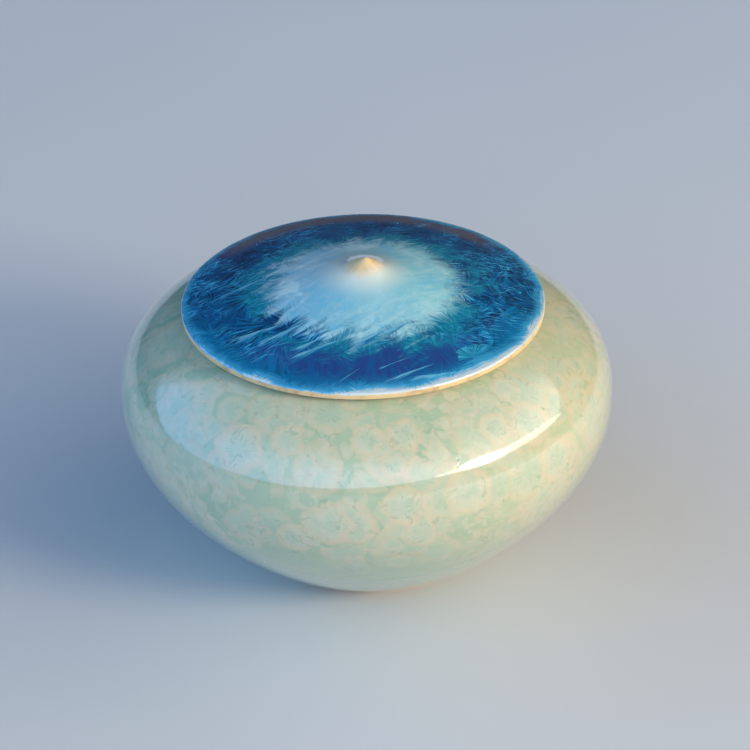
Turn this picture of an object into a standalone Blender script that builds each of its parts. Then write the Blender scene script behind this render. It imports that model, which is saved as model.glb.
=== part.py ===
"""A squat wheel-thrown urn in crystalline-glazed stoneware, with a broad pointed lid.

Run with: blender --background --python part.py
Metres, +Z up. The origin is the middle of the foot ring's underside, on the table.
The photographed side faces -Y.
"""

import math

import bpy
from mathutils import Vector

TURN_STEPS = 60
MERGE_DISTANCE = 0.00001

# The vessel's outside: a superellipse from belly to mouth, and a power curve from belly to foot.
BELLY_RADIUS = 0.1200
SHOULDER_RISE = 0.0524
SHOULDER_POWER = 2.61
LOWER_DROP = 0.0893
LOWER_POWER = 1.85
LOWER_END_RADIUS = 0.0474
SHOULDER_POINTS = 11
LOWER_POINTS = 10

# The vessel's wall, floor and trimmed foot ring.
WALL = 0.0055
FLOOR_THICKNESS = 0.0085
FOOT_SETBACK = 0.0032
FOOT_HEIGHT = 0.0030
FOOT_RING_WIDTH = 0.0080
FOOT_RECESS = 0.0020
FOOT_EDGE = 0.0006

# The mouth, whose flat lip carries the lid.
MOUTH_RADIUS = 0.0620
LIP_WIDTH = 0.0060
LIP_EDGE = 0.0008

# The lid's top: a shallow cone out to a thin brim, drawn up to a tip in the middle.
BRIM_OVERHANG = 0.0194
BRIM_THICKNESS = 0.0031
BRIM_DROP = 0.0016
BRIM_ROUNDING = 0.0012
CONE_RISE = 0.0172
CONE_POWER = 0.92
CONE_POINTS = 8
TIP_RISE = 0.0055
TIP_SPREAD = 0.0070
TIP_ROUNDING = 0.0030
TIP_STEPS = (0.10, 0.25, 0.45, 0.75, 1.2, 1.9)

# The lid's underside: a seat that lies on the lip, and a flange that reaches into the mouth.
LID_WALL = 0.0050
HOLLOW_SHARES = (1.0, 0.75, 0.5, 0.25, 0.0)
SEAT_MARGIN = 0.0050
SEAT_GAP = 0.0003
FLANGE_PLAY = 0.0030
FLANGE_THICKNESS = 0.0050
FLANGE_DEPTH = 0.0090
FLANGE_EDGE = 0.0012

# How the lid lies: off centre by a share of its play, its brim thrown out of level, its tip drawn aside.
LID_OFFSET_SHARE = -0.53
BRIM_LEAN = math.radians(0.74)
LEAN_DEPTH = 0.0040
TIP_DRIFT = 0.0014

BODY_COLOUR = (0.62, 0.70, 0.56)
LID_COLOUR = (0.03, 0.17, 0.36)
GLAZE_ROUGHNESS = 0.12

BELLY_HEIGHT = FOOT_HEIGHT + LOWER_DROP
FLOOR_TOP = FOOT_RECESS + FLOOR_THICKNESS
FOOT_RADIUS = LOWER_END_RADIUS - FOOT_SETBACK
LIP_RADIUS = MOUTH_RADIUS + LIP_WIDTH
BRIM_RADIUS = LIP_RADIUS + BRIM_OVERHANG
SEAT_RADIUS = LIP_RADIUS + SEAT_MARGIN
FLANGE_RADIUS = MOUTH_RADIUS - FLANGE_PLAY


def shoulder_height(radius):
    """Height of the outside of the shoulder at this radius."""
    share = (1 - (radius / BELLY_RADIUS) ** SHOULDER_POWER) ** (1 / SHOULDER_POWER)
    return BELLY_HEIGHT + SHOULDER_RISE * share


def outside_wall(inmost_radius):
    """Points (radius, height) down the outside, from the shoulder at inmost_radius to the foot."""
    last_turn = math.acos((inmost_radius / BELLY_RADIUS) ** (SHOULDER_POWER / 2))
    points = []
    for i in range(SHOULDER_POINTS, 0, -1):
        turn = last_turn * i / SHOULDER_POINTS
        radius = BELLY_RADIUS * math.cos(turn) ** (2 / SHOULDER_POWER)
        points.append((radius, BELLY_HEIGHT + SHOULDER_RISE * math.sin(turn) ** (2 / SHOULDER_POWER)))
    for i in range(LOWER_POINTS + 1):
        share = i / LOWER_POINTS
        radius = BELLY_RADIUS - (BELLY_RADIUS - LOWER_END_RADIUS) * share**LOWER_POWER
        points.append((radius, BELLY_HEIGHT - LOWER_DROP * share))
    return points


def moved_inwards(points, distance):
    """The curve that lies this far inside a curve that runs down the outside."""
    inner = []
    for i, (radius, height) in enumerate(points):
        before = Vector(points[max(i - 1, 0)])
        after = Vector(points[min(i + 1, len(points) - 1)])
        along = (after - before).normalized()
        inner.append((radius + along.y * distance, height - along.x * distance))
    return inner


def crossing(a, b, axis, value):
    """The point between a and b where coordinate axis has this value."""
    share = (value - a[axis]) / (b[axis] - a[axis])
    return (a[0] + share * (b[0] - a[0]), a[1] + share * (b[1] - a[1]))


def inside_wall():
    """Points from the edge of the inner floor up to the underside of the mouth."""
    curve = moved_inwards(outside_wall(MOUTH_RADIUS - WALL), WALL)
    kept = [p for p in curve if p[0] > MOUTH_RADIUS or p[1] < BELLY_HEIGHT]
    top = crossing(curve[len(curve) - len(kept) - 1], kept[0], 0, MOUTH_RADIUS)
    above_floor = [p for p in kept if p[1] > FLOOR_TOP]
    edge = crossing(above_floor[-1], kept[len(above_floor)], 1, FLOOR_TOP)
    return [edge] + above_floor[::-1] + [top]


def body_outline():
    """The vessel's half section, from the inner floor up the inside, over the lip and down to the foot."""
    lip_height = shoulder_height(LIP_RADIUS)
    lip = [
        (MOUTH_RADIUS, lip_height - LIP_EDGE),
        (MOUTH_RADIUS + LIP_EDGE, lip_height),
        (LIP_RADIUS - LIP_EDGE, lip_height),
    ]
    inner_foot = FOOT_RADIUS - FOOT_RING_WIDTH
    foot = [
        (FOOT_RADIUS, FOOT_HEIGHT - FOOT_EDGE),
        (FOOT_RADIUS, FOOT_EDGE),
        (FOOT_RADIUS - FOOT_EDGE, 0.0),
        (inner_foot + FOOT_EDGE, 0.0),
        (inner_foot, FOOT_EDGE),
        (inner_foot, FOOT_RECESS),
        (0.0, FOOT_RECESS),
    ]
    return [(0.0, FLOOR_TOP)] + inside_wall() + lip + outside_wall(LIP_RADIUS) + foot


def cone_top(radius):
    """Height above the seat of the lid's cone, which ends in the brim's upper edge."""
    return BRIM_THICKNESS - BRIM_DROP + CONE_RISE * (1 - radius / BRIM_RADIUS) ** CONE_POWER


def lid_top(radius):
    """Height above the seat of the lid's upper face, with the tip drawn up out of the cone."""
    blunted = math.hypot(radius, TIP_ROUNDING) - TIP_ROUNDING
    return cone_top(radius) + TIP_RISE * math.exp(-blunted / TIP_SPREAD)


def lid_outline():
    """The lid's half section, from its tip out to the brim and back below, over seat and flange."""
    tip = [0.0] + [TIP_SPREAD * step for step in TIP_STEPS]
    slope_end = BRIM_RADIUS - BRIM_ROUNDING
    slope = [tip[-1] + (slope_end - tip[-1]) * i / CONE_POINTS for i in range(1, CONE_POINTS + 1)]
    top = [(r, lid_top(r)) for r in tip + slope]
    brim = [
        (BRIM_RADIUS, top[-1][1] - BRIM_ROUNDING),
        (BRIM_RADIUS, BRIM_ROUNDING / 2 - BRIM_DROP),
        (BRIM_RADIUS - BRIM_ROUNDING / 2, -BRIM_DROP),
    ]
    inner_flange = FLANGE_RADIUS - FLANGE_THICKNESS
    flange = [
        (SEAT_RADIUS, 0.0),
        (FLANGE_RADIUS, 0.0),
        (FLANGE_RADIUS, FLANGE_EDGE - FLANGE_DEPTH),
        (FLANGE_RADIUS - FLANGE_EDGE, -FLANGE_DEPTH),
        (inner_flange + FLANGE_EDGE, -FLANGE_DEPTH),
        (inner_flange, FLANGE_EDGE - FLANGE_DEPTH),
    ]
    hollow = [inner_flange * share for share in HOLLOW_SHARES]
    below = [(r, cone_top(r) - LID_WALL) for r in hollow]
    return top + brim + flange + below


def glazed(name, colour):
    material = bpy.data.materials.new(name)
    material.use_nodes = True
    shader = material.node_tree.nodes["Principled BSDF"]
    shader.inputs["Base Color"].default_value = (*colour, 1.0)
    shader.inputs["Roughness"].default_value = GLAZE_ROUGHNESS
    shader.inputs["Metallic"].default_value = 0.0
    return material


def turned(name, outline, material, collection):
    """A thrown shape: its half section swept about Z by a Screw modifier."""
    mesh = bpy.data.meshes.new(name)
    mesh.from_pydata([(r, 0.0, z) for r, z in outline], [(i, i + 1) for i in range(len(outline) - 1)], [])
    mesh.materials.append(material)
    thrown = bpy.data.objects.new(name, mesh)
    collection.objects.link(thrown)
    screw = thrown.modifiers.new("turn", "SCREW")
    screw.axis = "Z"
    screw.steps = screw.render_steps = TURN_STEPS
    screw.use_merge_vertices = True
    screw.merge_threshold = MERGE_DISTANCE
    screw.use_smooth_shade = True
    return thrown


def smoothed(value, low, high):
    """0 at low, 1 at high, and smooth between."""
    share = min(max((value - low) / (high - low), 0.0), 1.0)
    return share * share * (3 - 2 * share)


def lean_brim(lid):
    """Gives the thrown lid its lean and the drift of its tip, and leaves seat and flange true."""
    graph = bpy.context.evaluated_depsgraph_get()
    mesh = bpy.data.meshes.new_from_object(lid.evaluated_get(graph))
    lid.modifiers.clear()
    lid.data = mesh
    for vertex in mesh.vertices:
        x, y, z = vertex.co
        radius = math.hypot(x, y)
        above_seat = smoothed(z, 0.0, LEAN_DEPTH)
        outside_seat = smoothed(radius, SEAT_RADIUS, BRIM_RADIUS)
        lift = math.tan(BRIM_LEAN) * x * max(above_seat, outside_seat)
        drift = TIP_DRIFT * above_seat * math.exp(-((radius / (2 * TIP_SPREAD)) ** 2))
        vertex.co = (x + drift, y, z + lift)


def main():
    for thing in list(bpy.data.objects):
        bpy.data.objects.remove(thing, do_unlink=True)
    collection = bpy.data.collections.new("glazed_urn")
    bpy.context.scene.collection.children.link(collection)
    urn = bpy.data.objects.new("urn", None)
    collection.objects.link(urn)

    body = turned("urn_body", body_outline(), glazed("mint_glaze", BODY_COLOUR), collection)
    lid = turned("lid", lid_outline(), glazed("blue_glaze", LID_COLOUR), collection)
    body.parent = lid.parent = urn
    bpy.context.view_layer.update()
    lean_brim(lid)
    lid.location = (LID_OFFSET_SHARE * FLANGE_PLAY, 0.0, shoulder_height(LIP_RADIUS) + SEAT_GAP)


main()
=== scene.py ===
"""The lidded urn, dressed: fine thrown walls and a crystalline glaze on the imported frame."""

import math

import bpy
from mathutils import Matrix, Vector


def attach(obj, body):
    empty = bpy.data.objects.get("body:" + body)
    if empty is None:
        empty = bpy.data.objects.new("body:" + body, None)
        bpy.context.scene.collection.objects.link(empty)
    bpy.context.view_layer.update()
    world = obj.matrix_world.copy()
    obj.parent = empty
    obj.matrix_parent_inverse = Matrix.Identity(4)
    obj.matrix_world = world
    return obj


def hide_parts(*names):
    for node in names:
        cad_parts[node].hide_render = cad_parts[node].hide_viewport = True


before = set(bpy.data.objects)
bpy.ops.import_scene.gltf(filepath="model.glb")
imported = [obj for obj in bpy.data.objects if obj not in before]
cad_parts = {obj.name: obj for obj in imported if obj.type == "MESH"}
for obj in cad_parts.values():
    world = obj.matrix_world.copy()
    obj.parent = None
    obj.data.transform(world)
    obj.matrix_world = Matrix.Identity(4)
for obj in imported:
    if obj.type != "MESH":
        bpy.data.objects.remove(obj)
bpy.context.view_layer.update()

# The vessel, in metres, with its belly's widest ring at BELLY_HEIGHT.
BELLY_RADIUS = 0.1200
BELLY_HEIGHT = 0.0923
SHOULDER_RISE = 0.0524
SHOULDER_POWER = 2.61
LOWER_DROP = 0.0893
LOWER_POWER = 1.85
LOWER_END_RADIUS = 0.0474
WALL = 0.0055
FLOOR_TOP = 0.0105
FLOOR_CORNER = 0.0060
FOOT_RADIUS = 0.0442
FOOT_RING_WIDTH = 0.0080
FOOT_RECESS = 0.0020
FOOT_EDGE = 0.0006
MOUTH_RADIUS = 0.0620
LIP_RADIUS = 0.0680
LIP_EDGE = 0.0008

# The lid, measured from its seat. The rounding of its brim begins at an angle in degrees.
BRIM_RADIUS = 0.0874
BRIM_THICKNESS = 0.0031
BRIM_DROP = 0.0016
BRIM_ROUNDING = 0.0012
BRIM_ROUNDING_START = 72
CONE_RISE = 0.0172
CONE_POWER = 0.92
TIP_RISE = 0.0055
TIP_SPREAD = 0.0070
TIP_ROUNDING = 0.0030
LID_WALL = 0.0050
SEAT_RADIUS = 0.0730
FLANGE_RADIUS = 0.0590
FLANGE_THICKNESS = 0.0050
FLANGE_DEPTH = 0.0090
FLANGE_EDGE = 0.0012
SEAT_GAP = 0.0003
LID_OFFSET = -0.00159
BRIM_LEAN = math.radians(0.74)
LEAN_DEPTH = 0.0040
TIP_DRIFT = 0.0014

# How finely the wheel's shapes are cut: steps round, down the walls, along the lid and round each edge.
TURN_STEPS = 240
INSIDE_STEPS = (30, 26)
OUTSIDE_STEPS = (40, 44)
LID_TOP_STEPS = 60
LID_TOP_CROWDING = 1.5
LID_HOLLOW_STEPS = 16
EDGE_STEPS = 4
BRIM_STEPS = 5
MERGE_DISTANCE = 0.00001
SHARP_EDGE = math.radians(50)

# The camera, at the photograph's angle and nearness.
CAMERA_DISTANCE = 1.344
CAMERA_ELEVATION = math.radians(31.36)
CAMERA_ROLL = math.radians(0.356)
CAMERA_AIM_HEIGHT = 0.0953
CAMERA_LENS = 131.8
CAMERA_SENSOR = 36.0
CAMERA_SHIFT = (0.0109, 0.0081)

# The glazes' and the clay's colours.
MINT = (0.40, 0.49, 0.31, 1.0)
MINT_DEEP = (0.34, 0.45, 0.29, 1.0)
MINT_PALE = (0.47, 0.53, 0.37, 1.0)
# Straw yellow, painted on the body's right side as the warm light that falls there.
STRAW_WARM_LIGHT = (0.56, 0.54, 0.31, 1.0)
CREAM = (0.58, 0.57, 0.39, 1.0)
PEACH = (0.64, 0.49, 0.30, 1.0)
MOSS = (0.19, 0.30, 0.18, 1.0)
NAVY = (0.001, 0.016, 0.060, 1.0)
COBALT = (0.001, 0.075, 0.200, 1.0)
AZURE = (0.002, 0.190, 0.390, 1.0)
SKY = (0.070, 0.460, 0.680, 1.0)
CERULEAN = (0.001, 0.155, 0.310, 1.0)
INDIGO = (0.005, 0.090, 0.250, 1.0)
VIOLET = (0.018, 0.050, 0.190, 1.0)
TEAL = (0.002, 0.190, 0.270, 1.0)
BROWN_GREY = (0.150, 0.110, 0.110, 1.0)
TEAL_PALE = (0.020, 0.330, 0.440, 1.0)
AQUA = (0.270, 0.560, 0.600, 1.0)
# The bluer and the greyer aqua paint shade on the left and back of the lid's pale middle; the grey also
# colours curls there.
AQUA_BLUE_SHADE = (0.180, 0.470, 0.620, 1.0)
AQUA_GREEN = (0.300, 0.620, 0.610, 1.0)
AQUA_GREY_AND_SHADE = (0.370, 0.500, 0.540, 1.0)
AQUA_PALE = (0.520, 0.760, 0.760, 1.0)
AQUA_STEEL = (0.170, 0.470, 0.600, 1.0)
BONE = (0.740, 0.740, 0.600, 1.0)
WHITE_GLAZE = (0.600, 0.660, 0.620, 1.0)
TAN = (0.780, 0.540, 0.260, 1.0)
TAN_DARK = (0.520, 0.330, 0.160, 1.0)

UP = (0.0, 0.0, 1.0)

# The finishes: glaze and bare clay roughness, and where the patterns begin and end, in metres.
GLAZE_IOR = 1.5
COAT_ROUGHNESS = 0.02
BODY_ROUGHNESS = (0.10, 0.75)
LID_ROUGHNESS = (0.08, 0.70)
FLOOR_ROUGHNESS = 0.7
# The next pair: where the painted warm light on the body's right side begins and ends, in x.
WARM_LIGHT_SIDE = (0.01, 0.10)
CRYSTALS_START = (0.045, 0.075)
FOOT_CLAY = (0.0042, 0.0034)
PALE_MIDDLE = (0.0515, 0.0360)
TEAL_BORDER = (0.064, 0.050)
FEATHER_TURN = math.radians(-36)
BROWN_BACK = (0.068, 0.079)
CERULEAN_RIM = (0.073, 0.083)
SKY_RIM = (0.0785, 0.0850)
WHITE_RIM = (0.0832, 0.0862)
TIP_CLAY = (0.012, 0.004)
BRIM_CLAY = (0.0012, 0.0007)
BODY_WAVES = 0.0005
LID_WAVES = 0.0002
PEEL_DEPTH = 0.00007
DENT_DEPTH = 0.00006
CLAY_GRAIN_DEPTH = 0.00006

# The room: the floor and what the camera sees of the sky, and the window that the glazes mirror, which lies
# above the sill and on one side of the curtain.
FLOOR_SIZE = 8.0
PAPER = (0.55, 0.55, 0.54, 1.0)
PAPER_PALE = (0.59, 0.59, 0.58, 1.0)
BACKGROUND = (0.62, 0.63, 0.64, 1.0)
ROOM_DIMNESS = 0.06
WINDOW_SILL = (0.232, -0.062, 0.0)
WINDOW_SILL_EDGE = (0.16, 0.18)
WINDOW_CURTAIN = (-0.089, -0.466, 0.493)
WINDOW_CURTAIN_EDGE = (-0.01, 0.01)
WINDOW_STRENGTHS = (2.3, 2.1)


# Shapes

def shoulder_height(radius):
    """Height of the outside of the shoulder at this radius."""
    share = (1 - (radius / BELLY_RADIUS) ** SHOULDER_POWER) ** (1 / SHOULDER_POWER)
    return BELLY_HEIGHT + SHOULDER_RISE * share


SEAT_HEIGHT = shoulder_height(LIP_RADIUS) + SEAT_GAP


def outside_wall(inmost_radius, shoulder_points, lower_points):
    """Points (radius, height) down the outside, from the shoulder at inmost_radius to the foot."""
    last_turn = math.acos((inmost_radius / BELLY_RADIUS) ** (SHOULDER_POWER / 2))
    points = []
    for i in range(shoulder_points, 0, -1):
        turn = last_turn * i / shoulder_points
        radius = BELLY_RADIUS * math.cos(turn) ** (2 / SHOULDER_POWER)
        points.append((radius, BELLY_HEIGHT + SHOULDER_RISE * math.sin(turn) ** (2 / SHOULDER_POWER)))
    for i in range(lower_points + 1):
        share = i / lower_points
        radius = BELLY_RADIUS - (BELLY_RADIUS - LOWER_END_RADIUS) * share**LOWER_POWER
        points.append((radius, BELLY_HEIGHT - LOWER_DROP * share))
    return points


def moved_inwards(points, distance):
    """The curve that lies this far inside a curve that runs down the outside."""
    inner = []
    for i, (radius, height) in enumerate(points):
        before = Vector(points[max(i - 1, 0)])
        after = Vector(points[min(i + 1, len(points) - 1)])
        along = (after - before).normalized()
        inner.append((radius + along.y * distance, height - along.x * distance))
    return inner


def arc(centre, radius, start, end, steps):
    """Points on a round edge of the half section, from one angle to another in degrees."""
    turns = [math.radians(start + (end - start) * i / steps) for i in range(steps + 1)]
    return [(centre[0] + radius * math.cos(turn), centre[1] + radius * math.sin(turn)) for turn in turns]


def body_section():
    """The vessel's half section, from the inner floor up the inside, over the lip and down to the foot."""
    wall = moved_inwards(outside_wall(MOUTH_RADIUS - WALL, *INSIDE_STEPS), WALL)
    below_mouth = [p for p in wall if p[0] > MOUTH_RADIUS or p[1] < BELLY_HEIGHT]
    inside = [p for p in below_mouth if p[1] > FLOOR_TOP + FLOOR_CORNER / 2]
    floor_edge = inside[-1][0] - FLOOR_CORNER
    floor = [(0.0, FLOOR_TOP), (floor_edge / 2, FLOOR_TOP), (floor_edge, FLOOR_TOP)]
    lip_height = shoulder_height(LIP_RADIUS)
    lip = arc((MOUTH_RADIUS + LIP_EDGE, lip_height - LIP_EDGE), LIP_EDGE, 180, 90, EDGE_STEPS)
    lip.append((LIP_RADIUS - LIP_EDGE, lip_height))
    foot_top = BELLY_HEIGHT - LOWER_DROP
    inner_foot = FOOT_RADIUS - FOOT_RING_WIDTH
    foot = [(FOOT_RADIUS + FOOT_EDGE, foot_top), (FOOT_RADIUS, foot_top - FOOT_EDGE)]
    foot += arc((FOOT_RADIUS - FOOT_EDGE, FOOT_EDGE), FOOT_EDGE, 0, -90, EDGE_STEPS)
    foot += arc((inner_foot + FOOT_EDGE, FOOT_EDGE), FOOT_EDGE, -90, -180, EDGE_STEPS)
    foot += [(inner_foot, FOOT_RECESS), (inner_foot / 2, FOOT_RECESS), (0.0, FOOT_RECESS)]
    return floor + inside[::-1] + lip + outside_wall(LIP_RADIUS, *OUTSIDE_STEPS) + foot


def cone_top(radius):
    """Height above the seat of the lid's cone, which ends in the brim's upper edge."""
    return BRIM_THICKNESS - BRIM_DROP + CONE_RISE * (1 - radius / BRIM_RADIUS) ** CONE_POWER


def lid_top(radius):
    """Height above the seat of the lid's upper face, with the tip drawn up out of the cone."""
    blunted = math.hypot(radius, TIP_ROUNDING) - TIP_ROUNDING
    return cone_top(radius) + TIP_RISE * math.exp(-blunted / TIP_SPREAD)


def lid_section():
    """The lid's half section, from its tip out to the brim and back below, over seat and flange."""
    slope_end = BRIM_RADIUS - BRIM_ROUNDING
    slope = [slope_end * (i / LID_TOP_STEPS) ** LID_TOP_CROWDING for i in range(LID_TOP_STEPS + 1)]
    top = [(radius, lid_top(radius)) for radius in slope]
    brim_centre = (slope_end, top[-1][1] - BRIM_ROUNDING)
    edge = arc(brim_centre, BRIM_ROUNDING, BRIM_ROUNDING_START, 0, BRIM_STEPS)
    lower = BRIM_ROUNDING / 2
    edge += arc((BRIM_RADIUS - lower, lower - BRIM_DROP), lower, 0, -90, EDGE_STEPS)
    inner_flange = FLANGE_RADIUS - FLANGE_THICKNESS
    flange_end = FLANGE_EDGE - FLANGE_DEPTH
    under = [((BRIM_RADIUS + SEAT_RADIUS) / 2, -BRIM_DROP / 2), (SEAT_RADIUS, 0.0), (FLANGE_RADIUS, 0.0)]
    under += arc((FLANGE_RADIUS - FLANGE_EDGE, flange_end), FLANGE_EDGE, 0, -90, EDGE_STEPS)
    under += arc((inner_flange + FLANGE_EDGE, flange_end), FLANGE_EDGE, -90, -180, EDGE_STEPS)
    hollow = [inner_flange * (1 - i / LID_HOLLOW_STEPS) for i in range(LID_HOLLOW_STEPS + 1)]
    under += [(radius, cone_top(radius) - LID_WALL) for radius in hollow]
    return top + edge + under


def turned_on_wheel(name, section):
    """One vertex, extruded along the half section and spun about the axis into a closed shape."""
    bpy.ops.object.select_all(action="DESELECT")
    bpy.ops.mesh.primitive_plane_add(size=WALL, location=(0, 0, 0))
    piece = bpy.context.object
    piece.name = piece.data.name = name
    bpy.ops.object.mode_set(mode="EDIT")
    bpy.ops.mesh.select_all(action="SELECT")
    bpy.ops.mesh.merge(type="CENTER")
    bpy.ops.transform.translate(value=(section[0][0], 0, section[0][1]))
    for (radius, height), (next_radius, next_height) in zip(section, section[1:]):
        move = (next_radius - radius, 0, next_height - height)
        bpy.ops.mesh.extrude_region_move(TRANSFORM_OT_translate={"value": move})
    bpy.ops.mesh.select_all(action="SELECT")
    bpy.ops.mesh.spin(steps=TURN_STEPS, angle=2 * math.pi, center=(0, 0, 0), axis=UP)
    bpy.ops.mesh.select_all(action="SELECT")
    bpy.ops.mesh.remove_doubles(threshold=MERGE_DISTANCE)
    bpy.ops.mesh.normals_make_consistent(inside=False)
    bpy.ops.object.mode_set(mode="OBJECT")
    bpy.ops.object.shade_smooth_by_angle(angle=SHARP_EDGE)
    return piece


def smoothed(value, low, high):
    """0 at low, 1 at high, and smooth between."""
    share = min(max((value - low) / (high - low), 0.0), 1.0)
    return share * share * (3 - 2 * share)


def lean_brim(lid):
    """Gives the lid its lean and the drift of its tip, and leaves seat and flange true."""
    for vertex in lid.data.vertices:
        x, y, z = vertex.co
        radius = math.hypot(x, y)
        above_seat = smoothed(z, 0.0, LEAN_DEPTH)
        outside_seat = smoothed(radius, SEAT_RADIUS, BRIM_RADIUS)
        lift = math.tan(BRIM_LEAN) * x * max(above_seat, outside_seat)
        drift = TIP_DRIFT * above_seat * math.exp(-((radius / (2 * TIP_SPREAD)) ** 2))
        vertex.co = (x + drift, y, z + lift)


def set_on_mouth(lid):
    """Moves the lid's mesh onto the lip, with its object left at the origin."""
    bpy.ops.object.mode_set(mode="EDIT")
    bpy.ops.mesh.select_all(action="SELECT")
    bpy.ops.transform.translate(value=(LID_OFFSET, 0, SEAT_HEIGHT))
    bpy.ops.object.mode_set(mode="OBJECT")


# Node writing

class Nodes:
    """Writes a shader node tree, one call for each node."""

    def __init__(self, tree):
        self.tree = tree

    def add(self, kind, inputs, **options):
        node = self.tree.nodes.new("ShaderNode" + kind)
        for option, value in options.items():
            setattr(node, option, value)
        for name, value in inputs.items():
            if isinstance(value, bpy.types.NodeSocket):
                self.tree.links.new(value, node.inputs[name])
            else:
                node.inputs[name].default_value = value
        return node

    def calc(self, operation, *values):
        return self.add("Math", dict(enumerate(values)), operation=operation).outputs[0]

    def vector(self, operation, *values):
        return self.add("VectorMath", dict(enumerate(values)), operation=operation).outputs["Vector"]

    def measure(self, operation, *values):
        return self.add("VectorMath", dict(enumerate(values)), operation=operation).outputs["Value"]

    def scaled(self, vector, amount):
        return self.add("VectorMath", {0: vector, "Scale": amount}, operation="SCALE").outputs["Vector"]

    def xyz(self, x=0.0, y=0.0, z=0.0):
        return self.add("CombineXYZ", {"X": x, "Y": y, "Z": z}).outputs[0]

    def split(self, vector):
        return self.add("SeparateXYZ", {0: vector}).outputs

    def fade(self, value, start, end):
        """0 where the value is at start, 1 where it is at end, and smooth between."""
        inputs = {"Value": value, "From Min": start, "From Max": end}
        return self.add("MapRange", inputs, interpolation_type="SMOOTHSTEP").outputs["Result"]

    def between(self, value, low, high):
        """low where the value is 0, high where it is 1."""
        return self.add("MapRange", {"Value": value, "To Min": low, "To Max": high}).outputs["Result"]

    def both(self, *masks):
        total = masks[0]
        for mask in masks[1:]:
            total = self.calc("MULTIPLY", total, mask)
        return total

    def noise(self, position, per_metre, detail=2.0, roughness=0.5):
        inputs = {"Vector": position, "Scale": per_metre, "Detail": detail, "Roughness": roughness}
        return self.add("TexNoise", inputs).outputs

    def over(self, below, share, above):
        """A colour laid over another one, where its share is 1."""
        return self.add("Mix", {0: share, 6: below, 7: above}, data_type="RGBA").outputs[2]

    def ramp(self, value, stops):
        """The colour at a value from 0 to 1, between stops of (place, colour)."""
        node = self.add("ValToRGB", {0: value})
        elements = node.color_ramp.elements
        for place, _ in stops[2:]:
            elements.new(place)
        for element, (place, colour) in zip(elements, stops):
            element.position = place
            element.color = colour
        return node.outputs[0]

    def strayed(self, position, per_metre, by):
        """A position moved a little this way and that, so that what is drawn there isn't ruled."""
        drift = self.vector("SUBTRACT", self.noise(position, per_metre)[1], (0.5, 0.5, 0.5))
        return self.vector("ADD", position, self.scaled(drift, by))

    def use(self, group, inputs):
        return self.add("Group", inputs, node_tree=group).outputs


SOCKETS = {1: "NodeSocketFloat", 3: "NodeSocketVector", 4: "NodeSocketColor"}


class Effect:
    """A node group that more than one finish or layer uses, with named inputs and outputs."""

    def __init__(self, name, inputs, outputs):
        self.tree = bpy.data.node_groups.new(name, "ShaderNodeTree")
        for label, default in inputs.items():
            size = len(default) if isinstance(default, tuple) else 1
            socket = self.tree.interface.new_socket(label, in_out="INPUT", socket_type=SOCKETS[size])
            socket.default_value = default
        for label, size in outputs.items():
            self.tree.interface.new_socket(label, in_out="OUTPUT", socket_type=SOCKETS[size])
        self.nodes = Nodes(self.tree)
        self.given = self.tree.nodes.new("NodeGroupInput").outputs
        self.wanted = self.tree.nodes.new("NodeGroupOutput").inputs

    def give(self, label, socket):
        self.tree.links.new(socket, self.wanted[label])


# Effects

def make_crystals():
    """Crystals grown outwards from scattered seeds until they meet, with spokes inside each."""
    effect = Effect(
        "grown_crystals",
        {
            "Position": (0.0, 0.0, 0.0),
            "Normal": UP,
            "Around": (1.0, 0.0, 0.0),
            "Per Metre": 50.0,
            "Wander": 0.004,
            "Fanning": 0.0,
            "Spokes": 6.0,
            "Seed": 0.0,
        },
        {"Spokes": 1, "Reach": 1, "Edge": 1, "Shade": 1, "Other Shade": 1, "Sideways Sheen": 1},
    )
    n, given = effect.nodes, effect.given
    moved = n.strayed(given["Position"], 60.0, given["Wander"])
    place = n.vector("ADD", moved, n.xyz(given["Seed"], given["Seed"], given["Seed"]))
    cell_inputs = {"Vector": place, "Scale": given["Per Metre"]}
    cell = n.add("TexVoronoi", cell_inputs, feature="F1").outputs
    border = n.add("TexVoronoi", cell_inputs, feature="DISTANCE_TO_EDGE").outputs
    from_seed = n.vector("SUBTRACT", place, cell["Position"])
    upwards = n.vector("CROSS_PRODUCT", given["Normal"], given["Around"])
    sideways = n.measure("DOT_PRODUCT", from_seed, given["Around"])
    flat = n.xyz(sideways, n.measure("DOT_PRODUCT", from_seed, upwards))
    thrown = n.vector("SUBTRACT", cell["Color"], (0.5, 0.5, 0.5))
    flat = n.vector("ADD", flat, n.vector("MULTIPLY", n.scaled(thrown, given["Fanning"]), (2.0, 2.0, 0.0)))
    reach = n.measure("LENGTH", flat)
    heading = n.vector("NORMALIZE", flat)
    shades = n.add("SeparateColor", {0: cell["Color"]}).outputs
    depth = n.calc("ADD", n.calc("MULTIPLY", reach, 90.0), n.calc("MULTIPLY", shades[0], 40.0))
    looked_at = n.vector("ADD", n.scaled(heading, given["Spokes"]), n.xyz(z=depth))
    effect.give("Spokes", n.noise(looked_at, 1.0, 3.0, 0.6)[0])
    effect.give("Reach", reach)
    effect.give("Edge", n.calc("DIVIDE", border["Distance"], given["Per Metre"]))
    effect.give("Shade", shades[0])
    effect.give("Other Shade", shades[1])
    # How far each spoke heads along +X, which the lid uses to paint a sheen on its needles.
    effect.give("Sideways Sheen", n.measure("DOT_PRODUCT", heading, (1.0, 0.0, 0.0)))
    return effect.tree


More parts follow.
